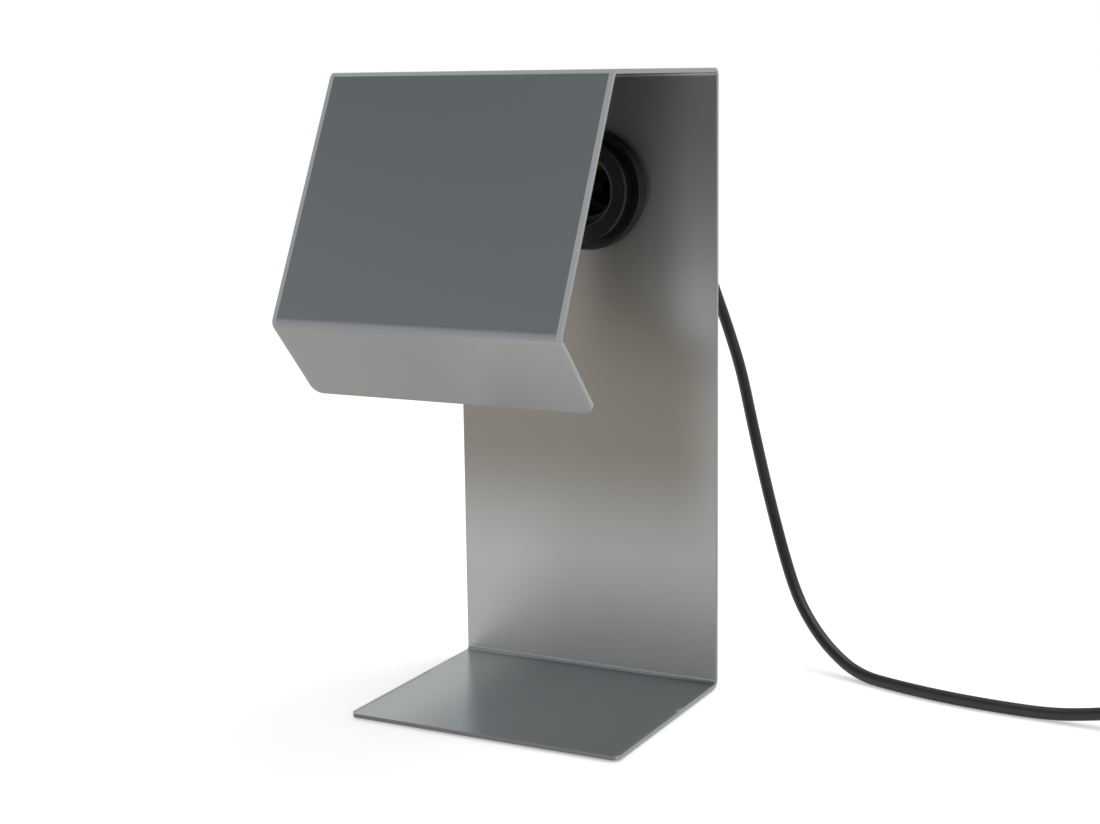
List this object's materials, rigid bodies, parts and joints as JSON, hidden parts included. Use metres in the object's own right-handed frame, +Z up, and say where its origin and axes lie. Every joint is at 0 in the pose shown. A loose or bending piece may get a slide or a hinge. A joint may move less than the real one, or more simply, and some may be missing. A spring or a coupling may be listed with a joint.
{
  "type": "folded sheet table lamp",
  "caption": "Table lamp folded from one strip of brushed steel, with a bare lamp holder through its back plate, a cord with an in-line rocker switch and a flat plug.",
  "frame": {"origin": "middle of the lamp's footprint, on the surface it stands on; the cord, its switch, coil and plug are left out of that middle", "axes": "+Z up, -Y the front that the sloping panel faces, +X the right-hand side seen from the front, where the cord runs"},
  "size_m": [0.5218, 0.2805, 0.301],
  "materials": {
    "steel_sheet": "brushed",
    "bakelite": "moulded, satin gloss",
    "black_plastic": "moulded",
    "cord_black": "smooth",
    "brass": "plain",
    "nickelled": "plain",
    "zinc_screw": "plain",
    "felt": "felt",
    "core_brown": "smooth",
    "core_blue": "smooth"
  },
  "bodies": {
    "lamp": {"folded_body": "steel_sheet", "foot_pad_1": "felt", "foot_pad_2": "felt", "foot_pad_3": "felt", "foot_pad_4": "felt", "holder_shell": "bakelite", "shade_ring": "bakelite", "back_nut": "bakelite", "holder_cap": "bakelite", "screw_shell": "brass", "contact_carrier": "bakelite", "centre_contact": "brass", "contact_rivets": "brass", "terminal_live": "brass", "terminal_neutral": "brass", "terminal_screws": "zinc_screw", "core_live": "core_brown", "core_neutral": "core_blue", "strain_relief": "cord_black", "neck_screw": "zinc_screw", "cord_lamp_lead": "cord_black", "cord_plug_lead": "cord_black", "cord_plug_end": "cord_black", "cord_coil": "cord_black", "coil_tie": "black_plastic", "switch_base": "black_plastic", "switch_cover": "black_plastic", "switch_cord_clamps": "black_plastic", "switch_clamp_screws": "zinc_screw", "switch_shell_screws": "zinc_screw", "switch_contact_plug_side": "brass", "switch_contact_lamp_side": "brass", "switch_neutral_link": "brass", "switch_post_screws": "zinc_screw", "switch_cores": "core_brown", "plug_body": "black_plastic", "plug_pin_1": "nickelled", "plug_pin_2": "nickelled", "plug_sleeve_1": "black_plastic", "plug_sleeve_2": "black_plastic"},
    "rocker": {"switch_rocker": "black_plastic", "switch_bridge": "brass"}
  },
  "joints": [
    {"name": "rocker_tilt", "type": "hinge", "parent": "lamp", "child": "rocker", "pos_m": [0.307, 0.07, 0.014], "axis": [0, 1, 0], "range_deg": [-10, 10]}
  ]
}
